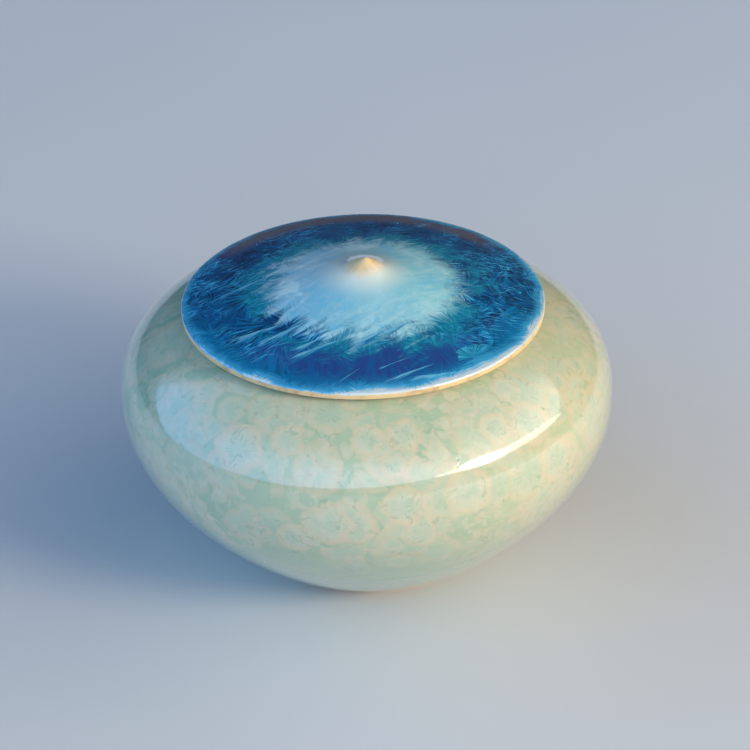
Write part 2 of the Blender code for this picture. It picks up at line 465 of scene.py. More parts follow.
def make_crystal_face():
    """One round crystal over a glaze: a heart, flesh in spokes, a toasted rim and a deeper gap round it."""
    effect = Effect(
        "crystal_face",
        {"Below": MINT, "Share": 1.0, "Spokes": 0.5, "Seam": 0.0, "Strength": 1.0, "Heart": MINT_PALE},
        {"Color": 4, "Notches": 1},
    )
    n, given = effect.nodes, effect.given
    share, strength = given["Share"], given["Strength"]
    mask = n.both(n.fade(share, 1.08, 0.86), strength)
    gap = n.both(n.fade(share, 1.35, 1.03), strength, 0.15)
    spoked = n.calc("ADD", share, n.between(given["Spokes"], -0.5, 0.5))
    flesh = n.over(given["Heart"], n.fade(spoked, 0.1, 0.8), CREAM)
    rim = n.calc("MAXIMUM", n.fade(share, 0.45, 1.0), given["Seam"])
    face = n.over(flesh, n.calc("MULTIPLY", rim, 0.75), PEACH)
    effect.give("Color", n.over(n.over(given["Below"], gap, MINT_DEEP), mask, face))
    midway = n.fade(n.calc("ABSOLUTE", n.calc("SUBTRACT", share, 0.36)), 0.20, 0.08)
    effect.give("Notches", n.both(midway, n.fade(given["Spokes"], 0.54, 0.62), strength))
    return effect.tree


def make_bloom(crystals, face):
    """A layer of scattered round crystals over a glaze."""
    effect = Effect(
        "crystal_bloom",
        {
            "Below": MINT,
            "Position": (0.0, 0.0, 0.0),
            "Normal": UP,
            "Around": (1.0, 0.0, 0.0),
            "Per Metre": 36.0,
            "Growth": 0.014,
            "Cover": 0.8,
            "Strength": 1.0,
            "Seed": 0.0,
            "Heart": MINT_PALE,
        },
        {"Color": 4, "Notches": 1},
    )
    n, given = effect.nodes, effect.given
    passed = {label: given[label] for label in ("Position", "Normal", "Around", "Per Metre", "Seed")}
    crystal = n.use(crystals, {**passed, "Spokes": 4.0})
    ripple = n.noise(given["Position"], n.calc("MULTIPLY", given["Per Metre"], 1.7), 1.0)[0]
    size = n.calc("MULTIPLY", given["Growth"], n.between(crystal["Shade"], 0.7, 1.25))
    here = n.calc("LESS_THAN", crystal["Other Shade"], given["Cover"])
    opaque = n.between(crystal["Other Shade"], 1.0, 0.6)
    drawn = n.use(face, {
        "Below": given["Below"], "Spokes": crystal["Spokes"], "Heart": given["Heart"],
        "Share": n.calc("ADD", n.calc("DIVIDE", crystal["Reach"], size), n.between(ripple, -0.3, 0.3)),
        "Seam": n.fade(crystal["Edge"], 0.0012, 0.0001),
        "Strength": n.both(here, opaque, given["Strength"]),
    })
    for label in ("Color", "Notches"):
        effect.give(label, drawn[label])
    return effect.tree


def make_nearest():
    """Takes a crystal as the nearest one so far, where it is nearer for its size than the ones before."""
    labels = ("Share", "Right", "Back", "Up", "Seed")
    before = {label + " Before": 9.0 for label in labels}
    places = {label: 0.0 for label in ("X", "Y", "Z", "Centre X", "Centre Y", "Centre Z")}
    inputs = {**before, **places, "Radius": 0.01, "Own": 0.0}
    effect = Effect("nearest_crystal", inputs, {label: 1 for label in labels})
    n, given = effect.nodes, effect.given
    away = [n.calc("SUBTRACT", given[axis], given["Centre " + axis]) for axis in "XYZ"]
    squares = [n.calc("MULTIPLY", part, part) for part in away]
    reach = n.calc("SQRT", n.calc("ADD", squares[0], n.calc("ADD", squares[1], squares[2])))
    share = n.calc("DIVIDE", reach, given["Radius"])
    nearer = n.calc("LESS_THAN", share, given["Share Before"])
    for label, value in zip(labels, (share, *away, given["Own"])):
        effect.give(label, n.between(nearer, given[label + " Before"], value))
    return effect.tree


def make_specks():
    """Small scattered marks, each a bent fleck and no two alike."""
    effect = Effect(
        "specks",
        {"Position": (0.0, 0.0, 0.0), "Per Metre": 120.0, "Size": 0.0012, "Cover": 0.4},
        {"Mask": 1},
    )
    n, given = effect.nodes, effect.given
    bent = n.vector("ADD", given["Position"], n.scaled(n.noise(given["Position"], 420.0, 1.0)[1], 0.0035))
    spot = n.add("TexVoronoi", {"Vector": bent, "Scale": given["Per Metre"]}, feature="F1").outputs
    far = n.calc("DIVIDE", spot["Distance"], given["Per Metre"])
    shade = n.add("SeparateColor", {0: spot["Color"]}).outputs[0]
    small = n.calc("MULTIPLY", given["Size"], n.between(shade, 0.4, 2.4))
    here = n.calc("LESS_THAN", shade, given["Cover"])
    effect.give("Mask", n.both(n.fade(n.calc("DIVIDE", far, small), 1.1, 0.6), here))
    return effect.tree


def make_curls():
    """Short bent strokes, such as the dimples between crystals and the edges of feathers."""
    effect = Effect("curls", {"Position": (0.0, 0.0, 0.0), "Per Metre": 120.0, "Breadth": 0.02}, {"Mask": 1})
    n, given = effect.nodes, effect.given
    field = n.noise(given["Position"], given["Per Metre"], 1.0)
    far = n.calc("ABSOLUTE", n.calc("SUBTRACT", field[0], 0.5))
    parts = n.add("SeparateColor", {0: field[1]}).outputs
    line = n.fade(far, given["Breadth"], n.calc("MULTIPLY", given["Breadth"], 0.3))
    effect.give("Mask", n.both(line, n.fade(parts[1], 0.58, 0.64)))
    return effect.tree


def make_blade():
    """One long crystal: a narrow wedge from its tip, with a pale edge that fades across it."""
    labels = ("X", "Y", "Tip X", "Tip Y", "Toward X", "Toward Y", "Length", "Spread", "Streaks")
    effect = Effect("blade", {label: 0.5 for label in labels}, {"Shine": 1, "Mask": 1})
    n, given = effect.nodes, effect.given
    right = n.calc("SUBTRACT", given["X"], given["Tip X"])
    back = n.calc("SUBTRACT", given["Y"], given["Tip Y"])
    forth = n.calc("MULTIPLY", right, given["Toward X"])
    along = n.calc("ADD", forth, n.calc("MULTIPLY", back, given["Toward Y"]))
    sideways = n.calc("MULTIPLY", back, given["Toward X"])
    across = n.calc("SUBTRACT", sideways, n.calc("MULTIPLY", right, given["Toward Y"]))
    share = n.calc("DIVIDE", across, n.calc("MULTIPLY", n.calc("MAXIMUM", along, 0.0001), given["Spread"]))
    end = n.calc("ADD", n.calc("DIVIDE", along, given["Length"]), n.between(given["Streaks"], -0.5, 0.5))
    effect.give("Shine", n.fade(n.calc("ADD", share, n.between(given["Streaks"], -0.9, 0.9)), 0.8, 0.0))
    edges = n.both(n.fade(share, -0.12, 0.02), n.fade(share, 1.02, 0.80))
    effect.give("Mask", n.both(n.fade(along, 0.0, 0.002), n.fade(end, 1.1, 0.75), edges))
    return effect.tree


def make_fan():
    """Takes a fan as the nearest one so far, where the place is within it and nearer to its apex."""
    labels = ("Share", "Heading X", "Heading Y", "Out")
    own = ("X", "Y", "Apex X", "Apex Y", "Toward X", "Toward Y", "Narrowness", "Reach")
    inputs = {**{label + " Before": 9.0 for label in labels}, **{label: 0.5 for label in own}}
    effect = Effect("nearest_fan", inputs, {**{label: 1 for label in labels}, "Nearer": 1})
    n, given = effect.nodes, effect.given
    right = n.calc("SUBTRACT", given["X"], given["Apex X"])
    back = n.calc("SUBTRACT", given["Y"], given["Apex Y"])
    out = n.calc("SQRT", n.calc("ADD", n.calc("MULTIPLY", right, right), n.calc("MULTIPLY", back, back)))
    heading_x = n.calc("DIVIDE", right, out)
    heading_y = n.calc("DIVIDE", back, out)
    forth = n.calc("MULTIPLY", heading_x, given["Toward X"])
    aside = n.calc("ADD", forth, n.calc("MULTIPLY", heading_y, given["Toward Y"]))
    outside = n.fade(aside, n.calc("ADD", given["Narrowness"], 0.12), given["Narrowness"])
    share = n.calc("ADD", n.calc("DIVIDE", out, given["Reach"]), n.calc("MULTIPLY", outside, 5.0))
    nearer = n.calc("LESS_THAN", share, given["Share Before"])
    for label, value in zip(labels, (share, heading_x, heading_y, out)):
        effect.give(label, n.between(nearer, given[label + " Before"], value))
    effect.give("Nearer", nearer)
    return effect.tree


def make_strokes():
    """Long thin crystals that lie one way, in loose bundles."""
    effect = Effect(
        "needle_strokes",
        {
            "Position": (0.0, 0.0, 0.0),
            "Turn": (0.0, 0.0, 0.0),
            "Length": 0.014,
            "Width": 0.0011,
            "Cover": 0.35,
        },
        {"Mask": 1, "Grain": 1},
    )
    n, given = effect.nodes, effect.given
    turning = {"Vector": given["Position"], "Rotation": given["Turn"]}
    turned = n.add("VectorRotate", turning, rotation_type="EULER_XYZ")
    parts = n.split(turned.outputs[0])
    along = n.calc("DIVIDE", parts[0], given["Length"])
    across = n.calc("DIVIDE", parts[1], given["Width"])
    grain = n.noise(n.xyz(along, across), 1.0, 1.0)[0]
    effect.give("Grain", grain)
    level = n.calc("SUBTRACT", 0.78, n.calc("MULTIPLY", given["Cover"], 0.4))
    effect.give("Mask", n.fade(grain, level, n.calc("ADD", level, 0.09)))
    return effect.tree


def make_glaze_skin():
    """The relief of a melted glaze: slow waves left by the thrower's fingers, and a fine peel."""
    effect = Effect("glaze_skin", {"Position": (0.0, 0.0, 0.0), "Waves": BODY_WAVES}, {"Height": 1})
    n, given = effect.nodes, effect.given
    waves = n.calc("MULTIPLY", n.noise(given["Position"], 17.0, 2.0)[0], given["Waves"])
    ripples = n.calc("MULTIPLY", n.noise(given["Position"], 75.0, 1.0)[0], PEEL_DEPTH)
    effect.give("Height", n.calc("ADD", waves, ripples))
    return effect.tree


def make_bare_clay():
    """Unglazed stoneware: toasted tan, sandy, with darker grains."""
    effect = Effect("bare_clay", {"Position": (0.0, 0.0, 0.0)}, {"Color": 4, "Height": 1})
    n, given = effect.nodes, effect.given
    toasted = n.over(TAN, n.fade(n.noise(given["Position"], 130.0, 3.0)[0], 0.45, 0.75), TAN_DARK)
    grains = n.noise(given["Position"], 2600.0, 2.0, 0.7)[0]
    effect.give("Color", n.over(toasted, n.both(n.fade(grains, 0.58, 0.72), 0.5), TAN_DARK))
    effect.give("Height", n.calc("MULTIPLY", grains, CLAY_GRAIN_DEPTH))
    return effect.tree


# Finishes

class Finish:
    """A new material with a Principled BSDF for a glossy glaze, and where the pattern is looked up."""

    def __init__(self, name):
        self.material = bpy.data.materials.new(name)
        self.material.use_nodes = True
        tree = self.material.node_tree
        self.nodes = Nodes(tree)
        self.shader = tree.nodes["Principled BSDF"]
        self.shader.inputs["IOR"].default_value = GLAZE_IOR
        self.shader.inputs["Coat Roughness"].default_value = COAT_ROUGHNESS
        coordinates = self.nodes.add("TexCoord", {}).outputs
        self.place = coordinates["Object"]
        self.normal = coordinates["Normal"]

    def give(self, label, socket):
        self.nodes.tree.links.new(socket, self.shader.inputs[label])

    def relief(self, height):
        bump = self.nodes.add("Bump", {"Height": height, "Distance": 1.0})
        self.give("Normal", bump.outputs[0])


# The clearest of the body's crystals: centre and radius in metres.
BODY_CRYSTALS = (
    ((-0.036, -0.099, 0.125), 0.0085),
    ((-0.058, -0.096, 0.118), 0.0125),
    ((0.058, -0.089, 0.124), 0.0080),
    ((0.088, -0.081, 0.102), 0.0115),
    ((0.075, -0.080, 0.121), 0.0115),
    ((0.046, -0.110, 0.103), 0.0125),
    ((0.016, -0.100, 0.127), 0.0085),
    ((0.000, -0.103, 0.127), 0.0080),
    ((-0.018, -0.118, 0.091), 0.0120),
    ((0.016, -0.118, 0.101), 0.0105),
    ((-0.034, -0.114, 0.080), 0.0090),
)


def make_body_glaze(effects):
    """Mint glaze with round cream crystals, straw yellow to the right."""
    finish = Finish("mint_crystalline_glaze")
    n, place = finish.nodes, finish.place
    x, y, z = n.split(place)
    outwards = n.vector("NORMALIZE", n.xyz(x, y))
    around = n.vector("CROSS_PRODUCT", UP, outwards)
    ring = {"Position": place, "Normal": finish.normal, "Around": around}

    # The ground: mint in slow clouds, and straw yellow to the right, a painted warm light on the side the key
    # light falls on.
    slow = n.noise(place, 10.0)[0]
    blotch = n.noise(place, 38.0, 3.0)[0]
    clouds = n.noise(place, 26.0, 2.0)[0]
    depth = n.fade(n.calc("ADD", slow, n.calc("MULTIPLY", blotch, 0.6)), 0.68, 0.92)
    ground = n.over(MINT, depth, MINT_DEEP)
    # Painted warm light: the right side is tinted straw yellow where the key light falls.
    warm_lit_right = n.fade(n.calc("ADD", x, n.between(slow, -0.05, 0.05)), *WARM_LIGHT_SIDE)
    ground = n.over(ground, n.calc("MULTIPLY", warm_lit_right, 0.6), STRAW_WARM_LIGHT)

    # Scattered crystals in three sizes above the foot, and the clearest ones over them.
    crowded = n.fade(n.calc("ADD", z, n.between(blotch, -0.02, 0.02)), *CRYSTALS_START)
    large = n.use(effects["bloom"], {
        **ring, "Below": ground, "Per Metre": 36.0, "Growth": 0.0150, "Cover": 0.9,
        "Strength": n.calc("MULTIPLY", crowded, 0.8),
    })
    medium = n.use(effects["bloom"], {
        **ring, "Below": large["Color"], "Per Metre": 62.0, "Growth": 0.0085, "Cover": 0.7, "Seed": 1.7,
        "Strength": n.both(crowded, n.fade(clouds, 0.40, 0.54), 0.75),
    })
    small = n.use(effects["bloom"], {
        **ring, "Below": medium["Color"], "Per Metre": 150.0, "Growth": 0.0042, "Cover": 0.45, "Seed": 3.1,
        "Strength": n.both(crowded, n.fade(clouds, 0.52, 0.40), 0.7), "Heart": CREAM,
    })
    bent = n.split(n.strayed(place, 60.0, 0.003))
    nearest = {"Share": 9.0, "Right": 1.0, "Back": 1.0, "Up": 1.0, "Seed": 0.0}
    for i, (centre, size) in enumerate(BODY_CRYSTALS):
        found = n.use(effects["nearest"], {
            **{label + " Before": value for label, value in nearest.items()},
            **{axis: bent[k] for k, axis in enumerate("XYZ")},
            **{"Centre " + axis: centre[k] for k, axis in enumerate("XYZ")},
            "Radius": size, "Own": i * 5.0,
        })
        nearest = {label: found[label] for label in nearest}
    heading = n.vector("NORMALIZE", n.xyz(nearest["Right"], nearest["Back"], nearest["Up"]))
    own = n.xyz(z=nearest["Seed"])
    lobes = n.noise(n.vector("ADD", n.scaled(heading, 1.5), own), 1.0, 1.0)[0]
    singles = n.use(effects["face"], {
        "Below": small["Color"], "Strength": 0.8,
        "Share": n.calc("ADD", nearest["Share"], n.between(lobes, -0.25, 0.25)),
        "Spokes": n.noise(n.vector("ADD", n.scaled(heading, 4.0), own), 1.0, 3.0, 0.6)[0],
    })

    # Mottling, cream dust and small moss green dents.
    notches = n.calc("MAXIMUM", large["Notches"], n.calc("MAXIMUM", medium["Notches"], singles["Notches"]))
    mottled = n.fade(n.noise(place, 190.0, 3.0, 0.6)[0], 0.48, 0.70)
    colour = n.over(singles["Color"], n.calc("MULTIPLY", mottled, 0.3), MINT_DEEP)
    dusted = n.fade(n.noise(place, 240.0, 2.0)[0], 0.52, 0.66)
    colour = n.over(colour, n.both(dusted, crowded, n.fade(clouds, 0.60, 0.42), 0.5), CREAM)
    flecks = n.use(effects["specks"], {
        "Position": place, "Per Metre": 100.0, "Size": 0.0011, "Cover": 0.4,
    })["Mask"]
    curls = n.use(effects["curls"], {"Position": place, "Per Metre": 150.0, "Breadth": 0.06})["Mask"]
    dents = n.calc("MAXIMUM", n.calc("MULTIPLY", flecks, 0.7), n.calc("MULTIPLY", curls, 0.3))
    dents = n.both(dents, crowded, n.fade(blotch, 0.38, 0.5))
    marks = n.calc("MAXIMUM", dents, n.both(notches, n.fade(clouds, 0.42, 0.54), 0.45))
    colour = n.over(colour, marks, MOSS)

    # Bare clay on the foot, and on the lip under the lid.
    clay = n.use(effects["clay"], {"Position": place})
    edge_of_glaze = n.calc("ADD", z, n.between(n.noise(place, 90.0)[0], -0.0012, 0.0012))
    radius = n.measure("LENGTH", n.xyz(x, y))
    on_foot = n.fade(edge_of_glaze, *FOOT_CLAY)
    near_top = n.fade(z, SEAT_HEIGHT - 0.0012, SEAT_HEIGHT - 0.0008)
    on_lip = n.both(near_top, n.fade(radius, LIP_RADIUS, LIP_RADIUS - 0.0006))
    bare = n.calc("MAXIMUM", on_foot, on_lip)

    finish.give("Base Color", n.over(colour, bare, clay["Color"]))
    finish.give("Roughness", n.between(bare, *BODY_ROUGHNESS))
    finish.give("Coat Weight", n.calc("SUBTRACT", 1.0, bare))
    height = n.use(effects["skin"], {"Position": place, "Waves": BODY_WAVES})["Height"]
    height = n.calc("SUBTRACT", height, n.calc("MULTIPLY", dents, DENT_DEPTH))
    finish.relief(n.calc("ADD", height, n.both(bare, clay["Height"])))
    return finish.material


# Fans of needles: apex x and y in metres, heading in degrees from +X, the cosine of half
# the fan's angle, reach in metres, and its colours between and on the needles.
LID_FANS = (
    (0.006, -0.048, -92, 0.60, 0.034, VIOLET, INDIGO),
    (-0.022, -0.050, -100, 0.50, 0.026, VIOLET, INDIGO),
    (0.030, -0.052, -80, 0.50, 0.024, VIOLET, INDIGO),
    (-0.040, -0.048, -125, 0.55, 0.022, VIOLET, AZURE),
    (0.049, -0.060, 60, -0.95, 0.011, TEAL, SKY),
    (0.048, -0.004, 0, -0.95, 0.009, COBALT, TEAL_PALE),
    (-0.060, 0.020, 0, -0.95, 0.016, NAVY, AZURE),
    (-0.052, -0.006, -170, 0.10, 0.020, NAVY, AZURE),
    (-0.046, -0.034, -150, 0.35, 0.018, NAVY, AZURE),
    (-0.060, 0.022, 130, -0.20, 0.016, NAVY, COBALT),
    (0.034, -0.044, -60, 0.30, 0.020, VIOLET, AZURE),
    (0.060, -0.030, -20, 0.10, 0.018, COBALT, AZURE),
    (-0.004, -0.084, 90, -0.95, 0.006, COBALT, SKY),
)

# Bundles of long needles: turn in degrees, length, width, cover, strength, and the x they fade in between.
LID_NEEDLES = (
    (38, 0.014, 0.0011, 0.42, 0.75, 0.01, -0.05),
    (18, 0.008, 0.0007, 0.50, 0.70, 0.00, -0.04),
    (4, 0.006, 0.0007, 0.52, 0.75, 0.02, 0.05),
    (-14, 0.008, 0.0007, 0.44, 0.60, 0.00, 0.05),
)

# The pale blades that cross the border of the lid's middle, and those at its front rim: tip, end and spread.
LID_BLADES = (
    ((0.010, -0.043), (-0.007, -0.055), 0.30),
    ((-0.008, -0.049), (-0.037, -0.061), 0.17),
    ((-0.017, -0.047), (-0.034, -0.055), 0.20),
    ((-0.026, -0.035), (-0.050, -0.047), 0.22),
    ((-0.037, -0.035), (-0.064, -0.042), 0.25),
    ((-0.036, 0.014), (-0.070, -0.003), 0.08),
    ((0.020, -0.038), (0.007, -0.047), 0.30),
    ((0.032, -0.066), (0.010, -0.078), 0.12),
    ((0.052, -0.068), (0.018, -0.077), 0.13),
    ((0.021, -0.062), (0.004, -0.072), 0.05),
    ((-0.002, -0.070), (-0.013, -0.079), 0.06),
    ((0.066, -0.053), (0.044, -0.070), 0.16),
)


def make_lid_glaze(effects):
    """Cobalt glaze full of needle crystals round a pale middle, with a bare tip and brim edge."""
    finish = Finish("cobalt_crystalline_glaze")
    n, place = finish.nodes, finish.place
    x, y, z = n.split(place)
    from_middle = n.vector("SUBTRACT", n.xyz(x, y), (LID_OFFSET, 0.0, 0.0))
    radius = n.measure("LENGTH", from_middle)
    heading = n.vector("NORMALIZE", from_middle)
    slow = n.noise(place, 22.0)[0]
    flat = {"Position": place, "Normal": UP, "Around": (1.0, 0.0, 0.0)}

    # The blue ring: crystals in three sizes, with a violet front.
    large = n.use(effects["crystals"], {
        **flat, "Per Metre": 42.0, "Wander": 0.006, "Fanning": 0.016, "Spokes": 16.0,
    })
    middle = n.use(effects["crystals"], {
        **flat, "Per Metre": 78.0, "Wander": 0.004, "Fanning": 0.010, "Spokes": 12.0, "Seed": 2.3,
    })
    fine = n.use(effects["crystals"], {
        **flat, "Per Metre": 140.0, "Wander": 0.003, "Fanning": 0.006, "Spokes": 7.0, "Seed": 5.1,
    })
    choice = n.add("SeparateColor", {0: n.noise(place, 55.0, 2.0)[1]}).outputs
    bright = n.over(large["Spokes"], n.fade(choice[0], 0.44, 0.54), middle["Spokes"])
    bright = n.over(bright, n.fade(choice[1], 0.5, 0.58), fine["Spokes"])
    # Painted sheen: needles that head along +X are drawn lighter, as if they caught the light.
    needle_sheen = n.over(large["Sideways Sheen"], n.fade(choice[0], 0.44, 0.54), middle["Sideways Sheen"])
    lit = n.calc("ADD", n.fade(bright, 0.30, 0.75), n.calc("MULTIPLY", needle_sheen, 0.16))
    blue = n.ramp(lit, ((0.0, NAVY), (0.46, COBALT), (0.80, AZURE), (1.0, SKY)))
    blue = n.over(blue, n.both(n.fade(slow, 0.52, 0.68), 0.6), COBALT)
    blue = n.over(blue, n.both(n.fade(n.noise(place, 31.0)[0], 0.56, 0.70), 0.5), VIOLET)
    wavering = n.calc("ADD", y, n.between(n.noise(place, 60.0)[0], -0.012, 0.012))
    front = n.both(n.fade(wavering, -0.044, -0.056), n.fade(x, -0.050, -0.025), n.fade(x, 0.060, 0.040))
    in_front = n.over(VIOLET, n.fade(middle["Spokes"], 0.4, 0.7), INDIGO)
    blue = n.over(blue, n.calc("MULTIPLY", front, 0.8), in_front)

    # The listed fans.
    nearest = {"Share": 9.0, "Heading X": 1.0, "Heading Y": 0.0, "Out": 0.0}
    dark, light = VIOLET, INDIGO
    for apex_x, apex_y, toward, narrowness, reach, own_dark, own_light in LID_FANS:
        turn = math.radians(toward)
        fan = n.use(effects["fan"], {
            **{label + " Before": value for label, value in nearest.items()},
            "X": x, "Y": y, "Apex X": apex_x, "Apex Y": apex_y,
            "Toward X": math.cos(turn), "Toward Y": math.sin(turn), "Narrowness": narrowness, "Reach": reach,
        })
        nearest = {label: fan[label] for label in nearest}
        dark = n.over(dark, fan["Nearer"], own_dark)
        light = n.over(light, fan["Nearer"], own_light)
    turned = [n.calc("MULTIPLY", nearest[label], 9.0) for label in ("Heading X", "Heading Y")]
    fanned = n.noise(n.xyz(*turned, n.calc("MULTIPLY", nearest["Out"], 60.0)), 1.0, 4.0, 0.7)[0]
    in_fan = n.fade(n.calc("ADD", nearest["Share"], n.between(fanned, 0.5, -0.5)), 1.1, 0.7)
    blue = n.over(blue, n.calc("MULTIPLY", in_fan, 0.85), n.over(dark, n.fade(fanned, 0.4, 0.66), light))

    # The long needles to the left and right, and the lighter blue towards the front rim.
    needles = 0.0
    bent = n.strayed(place, 40.0, 0.006)
    for turn, length, width, cover, strength, low, high in LID_NEEDLES:
        strokes = n.use(effects["strokes"], {
            "Position": bent, "Turn": (0.0, 0.0, -math.radians(turn)),
            "Length": length, "Width": width, "Cover": cover,
        })["Mask"]
        needles = n.calc("MAXIMUM", needles, n.both(strokes, n.fade(x, low, high), strength))
    needles = n.both(needles, n.fade(choice[2], 0.42, 0.55), n.calc("SUBTRACT", 1.0, front))
    blue = n.over(blue, needles, SKY)
    ragged_radius = n.calc("ADD", radius, n.between(bright, -0.006, 0.006))
    near_rim = n.both(n.fade(ragged_radius, *CERULEAN_RIM), n.fade(y, 0.0, -0.04), 0.8)
    blue = n.over(blue, near_rim, CERULEAN)

    # The pale middle, torn at its edge and feathered to the front left, with its teal border.
    looked_at = n.vector("ADD", n.scaled(heading, 7.0), n.xyz(z=n.calc("MULTIPLY", radius, 40.0)))
    rays = n.noise(looked_at, 1.0, 3.0, 0.6)[0]
    pale_centre = n.measure("DISTANCE", n.xyz(x, y), (0.0, -0.004, 0.0))
    feathering = n.use(effects["strokes"], {
        "Position": n.strayed(place, 30.0, 0.016), "Turn": (0.0, 0.0, FEATHER_TURN),
        "Length": 0.020, "Width": 0.0042,
    })["Grain"]
    drawn = n.both(n.fade(feathering, 0.40, 0.70), n.fade(n.calc("ADD", x, y), 0.01, -0.04), 0.007)
    torn = n.between(n.calc("MULTIPLY", n.calc("ADD", rays, bright), 0.5), 0.022, -0.022)
    ragged = n.calc("SUBTRACT", n.calc("ADD", pale_centre, torn), drawn)
    pale = n.fade(ragged, *PALE_MIDDLE)
    teal_ring = n.both(n.fade(ragged, *TEAL_BORDER), n.fade(choice[2], 0.40, 0.56), 0.85)
    blue = n.over(blue, teal_ring, n.over(TEAL, n.fade(bright, 0.45, 0.7), TEAL_PALE))
    # Painted shade: the pale middle is drawn bluer to the left and greyer to the back left, on the cone's
    # side away from the key light.
    aqua = n.over(AQUA, n.fade(x, 0.005, -0.040), AQUA_BLUE_SHADE)
    aqua = n.over(aqua, n.fade(x, 0.005, 0.040), AQUA_GREEN)
    aqua = n.over(aqua, n.both(n.fade(n.calc("SUBTRACT", y, x), 0.0, 0.05), 0.7), AQUA_GREY_AND_SHADE)
    outer = n.fade(radius, 0.010, 0.036)
    painted = n.noise(n.strayed(place, 50.0, 0.020), 80.0, 3.0, 0.6)[0]
    aqua = n.over(aqua, n.both(n.fade(feathering, 0.48, 0.70), outer, 0.3), AQUA_PALE)
    aqua = n.over(aqua, n.both(n.fade(feathering, 0.48, 0.30), outer, 0.25), SKY)
    aqua = n.over(aqua, n.both(n.fade(painted, 0.52, 0.66), outer, 0.5), AQUA_PALE)
    aqua = n.over(aqua, n.both(n.fade(painted, 0.48, 0.34), outer, 0.4), SKY)
    aqua = n.over(aqua, n.both(n.fade(large["Spokes"], 0.50, 0.72), outer, 0.25), AQUA_PALE)
    curls = n.use(effects["curls"], {"Position": place, "Per Metre": 90.0, "Breadth": 0.04})["Mask"]
    aqua = n.over(aqua, n.both(curls, outer, 0.45), n.over(AQUA_PALE, n.fade(painted, 0.52, 0.48), AQUA_GREY_AND_SHADE))
    aqua = n.over(aqua, n.fade(radius, 0.026, 0.004), BONE)
    colour = n.over(blue, pale, aqua)

    # The blades across that border.
    blades, shining = 0.0, 0.0
    bent = n.split(n.strayed(place, 90.0, 0.0016))
    streaks = n.use(effects["strokes"], {
        "Position": place, "Turn": (0.0, 0.0, FEATHER_TURN), "Length": 0.012, "Width": 0.0008,
    })["Grain"]
    for (tip_x, tip_y), (end_x, end_y), spread in LID_BLADES:
        length = math.hypot(end_x - tip_x, end_y - tip_y)
        blade = n.use(effects["blade"], {
            "X": bent[0], "Y": bent[1], "Tip X": tip_x, "Tip Y": tip_y, "Length": length, "Spread": spread,
            "Toward X": (end_x - tip_x) / length, "Toward Y": (end_y - tip_y) / length, "Streaks": streaks,
        })
        blades = n.calc("MAXIMUM", blades, blade["Mask"])
        shining = n.calc("MAXIMUM", shining, n.both(blade["Mask"], blade["Shine"]))
    colour = n.over(colour, n.calc("MULTIPLY", blades, 0.85), n.over(CERULEAN, shining, AQUA_STEEL))

    # The brown back, and the white line round the rim where the glaze is thin.
    at_back = n.both(n.fade(y, 0.030, 0.060), n.fade(radius, *BROWN_BACK), n.fade(slow, 0.30, 0.46))
    colour = n.over(colour, n.calc("MULTIPLY", at_back, 0.85), BROWN_GREY)
    to_front_right = n.measure("DOT_PRODUCT", heading, (0.65, -0.76, 0.0))
    widened = n.between(n.fade(to_front_right, 0.5, 0.95), -0.0016, 0.0006)
    fringe = n.between(n.calc("MULTIPLY", n.calc("ADD", bright, n.noise(place, 60.0)[0]), 0.5), -0.008, 0.006)
    frayed = n.calc("ADD", n.calc("ADD", radius, widened), fringe)
    colour = n.over(colour, n.both(n.fade(frayed, *SKY_RIM), 0.7), SKY)
    colour = n.over(colour, n.both(n.fade(frayed, *WHITE_RIM), 0.95), WHITE_GLAZE)

    # Bare clay at the tip, on the brim's edge and on the underside.
    clay = n.use(effects["clay"], {"Position": place})
    on_tip = n.fade(n.calc("ADD", radius, n.between(rays, -0.004, 0.004)), *TIP_CLAY)
    lean = n.calc("ADD", n.calc("MULTIPLY", x, math.tan(BRIM_LEAN)), SEAT_HEIGHT)
    creeping = n.between(n.noise(place, 150.0)[0], -0.001, 0.001)
    glaze_edge = n.calc("ADD", n.calc("SUBTRACT", z, lean), creeping)
    outermost = n.fade(radius, BRIM_RADIUS - 0.0020, BRIM_RADIUS - 0.0015)
    on_edge = n.both(n.fade(glaze_edge, *BRIM_CLAY), outermost)
    below = n.fade(n.split(finish.normal)[2], 0.1, -0.1)
    bare = n.calc("MAXIMUM", n.calc("MAXIMUM", on_tip, on_edge), below)

    finish.give("Base Color", n.over(colour, bare, clay["Color"]))
    finish.give("Roughness", n.between(bare, *LID_ROUGHNESS))
    finish.give("Coat Weight", n.calc("SUBTRACT", 1.0, bare))
    height = n.use(effects["skin"], {"Position": place, "Waves": LID_WAVES})["Height"]
    finish.relief(n.calc("ADD", height, n.both(bare, clay["Height"])))
    return finish.material


def make_floor_finish():
    finish = Finish("pale_paper")
    n = finish.nodes
    finish.give("Base Color", n.over(PAPER, n.noise(finish.place, 3.0)[0], PAPER_PALE))
    finish.shader.inputs["Roughness"].default_value = FLOOR_ROUGHNESS
    return finish.material


# Stage

def lay_floor():
    bpy.ops.object.select_all(action="DESELECT")
    bpy.ops.mesh.primitive_plane_add(size=FLOOR_SIZE, location=(0, 0, 0))
    floor = bpy.context.object
    floor.name = "floor"
    floor.data.materials.append(make_floor_finish())


def place_camera():
    camera = bpy.data.objects.new("camera", bpy.data.cameras.new("camera"))
    bpy.context.scene.collection.objects.link(camera)
    back = Vector((0, -math.cos(CAMERA_ELEVATION), math.sin(CAMERA_ELEVATION)))
    camera.location = Vector((0, 0, CAMERA_AIM_HEIGHT)) + back * CAMERA_DISTANCE
    tilt = Matrix.Rotation(math.pi / 2 - CAMERA_ELEVATION, 3, "X")
    roll = Matrix.Rotation(-CAMERA_ROLL, 3, "Z")
    camera.rotation_euler = (tilt @ roll).to_euler()
    camera.data.lens = CAMERA_LENS
    camera.data.sensor_width = CAMERA_SENSOR
    camera.data.shift_x, camera.data.shift_y = CAMERA_SHIFT
    bpy.context.scene.camera = camera


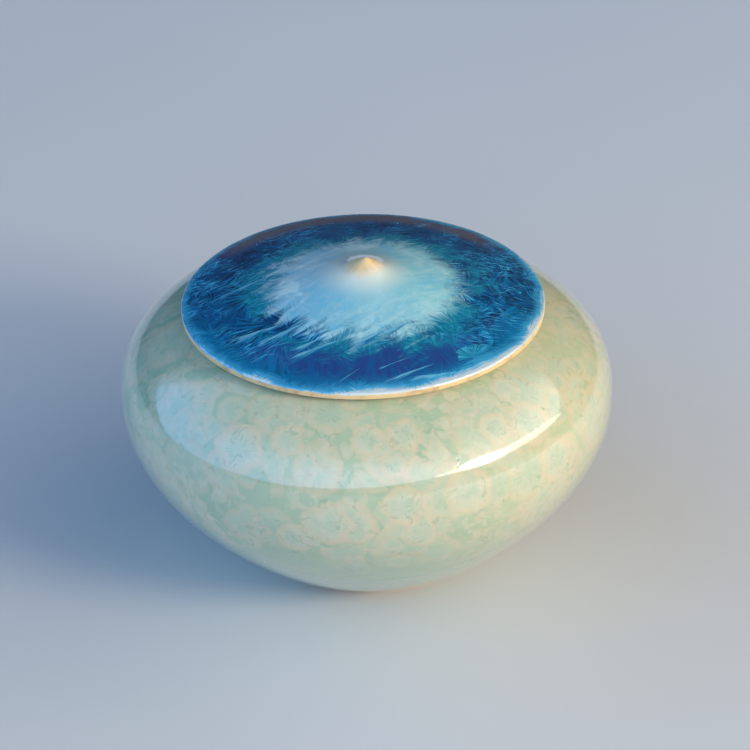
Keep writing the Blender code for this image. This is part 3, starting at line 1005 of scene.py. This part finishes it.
# Oval softboxes to the right of the urn: azimuth from -Y towards +X and elevation in degrees, distance,
# width and height in metres, roll in degrees, colour and radiance.
SOFTBOXES = (
    ("sun_glow", 66, 24, 2.6, 3.4, 0.40, 0, (1.0, 0.90, 0.74), 4.0),
    ("low_sun", 54, 24.5, 2.5, 0.95, 0.46, 4, (1.0, 0.88, 0.68), 38.0),
)


def hang_softboxes():
    target = Vector((0, 0, CAMERA_AIM_HEIGHT))
    for name, azimuth, elevation, distance, width, height, roll, colour, radiance in SOFTBOXES:
        light = bpy.data.lights.new(name, "AREA")
        light.shape = "ELLIPSE"
        light.size, light.size_y = width, height
        light.color = colour
        area = width * height * math.pi / 4
        light.energy = radiance * math.pi * area
        box = bpy.data.objects.new(name, light)
        bpy.context.scene.collection.objects.link(box)
        turn = math.radians(azimuth)
        rise = math.radians(elevation)
        towards = Vector((math.sin(turn) * math.cos(rise), -math.cos(turn) * math.cos(rise), math.sin(rise)))
        box.location = target + towards * distance
        facing = (-towards).to_track_quat("-Z", "Y").to_matrix() @ Matrix.Rotation(math.radians(roll), 3, "Z")
        box.rotation_euler = facing.to_euler()
        box.visible_camera = False


def fill_with_sky():
    """A room that is bright in front, bluer to the left and warmer to the right, and dim behind."""
    world = bpy.data.worlds.new("pale_room")
    world.use_nodes = True
    n = Nodes(world.node_tree)
    towards = n.add("TexCoord", {}).outputs["Generated"]
    x, y, z = n.split(towards)
    sill = n.calc("SUBTRACT", z, n.measure("DOT_PRODUCT", towards, WINDOW_SILL))
    curtain = n.measure("DOT_PRODUCT", towards, WINDOW_CURTAIN)
    opened = n.both(n.fade(sill, *WINDOW_SILL_EDGE), n.fade(curtain, *WINDOW_CURTAIN_EDGE))
    window = n.both(opened, n.fade(y, 0.60, 0.40), n.fade(z, 0.97, 0.50))
    lit = n.both(window, n.between(n.fade(x, -0.7, 0.2), *WINDOW_STRENGTHS))
    glow = n.ramp(n.fade(x, -0.9, 0.9), (
        (0.0, (0.22, 0.48, 0.92, 1.0)),
        (0.6, (0.66, 0.84, 1.18, 1.0)),
        (1.0, (0.96, 0.92, 0.90, 1.0)),
    ))
    seen = n.add("LightPath", {}).outputs["Is Camera Ray"]
    background = world.node_tree.nodes["Background"]
    n.tree.links.new(n.over(glow, seen, BACKGROUND), background.inputs["Color"])
    strength = n.calc("MAXIMUM", n.calc("ADD", lit, ROOM_DIMNESS), seen)
    n.tree.links.new(strength, background.inputs["Strength"])
    bpy.context.scene.world = world


def main():
    crystals = make_crystals()
    face = make_crystal_face()
    effects = {
        "crystals": crystals,
        "face": face,
        "bloom": make_bloom(crystals, face),
        "nearest": make_nearest(),
        "specks": make_specks(),
        "curls": make_curls(),
        "blade": make_blade(),
        "fan": make_fan(),
        "strokes": make_strokes(),
        "skin": make_glaze_skin(),
        "clay": make_bare_clay(),
    }

    body = turned_on_wheel("glazed_body", body_section())
    body.data.materials.append(make_body_glaze(effects))
    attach(body, "root")
    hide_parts("urn_body")

    lid = turned_on_wheel("glazed_lid", lid_section())
    lean_brim(lid)
    set_on_mouth(lid)
    lid.data.materials.append(make_lid_glaze(effects))
    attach(lid, "root")
    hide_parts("lid")

    lay_floor()
    place_camera()
    hang_softboxes()
    fill_with_sky()
    bpy.context.scene.view_settings.view_transform = "Standard"


main()
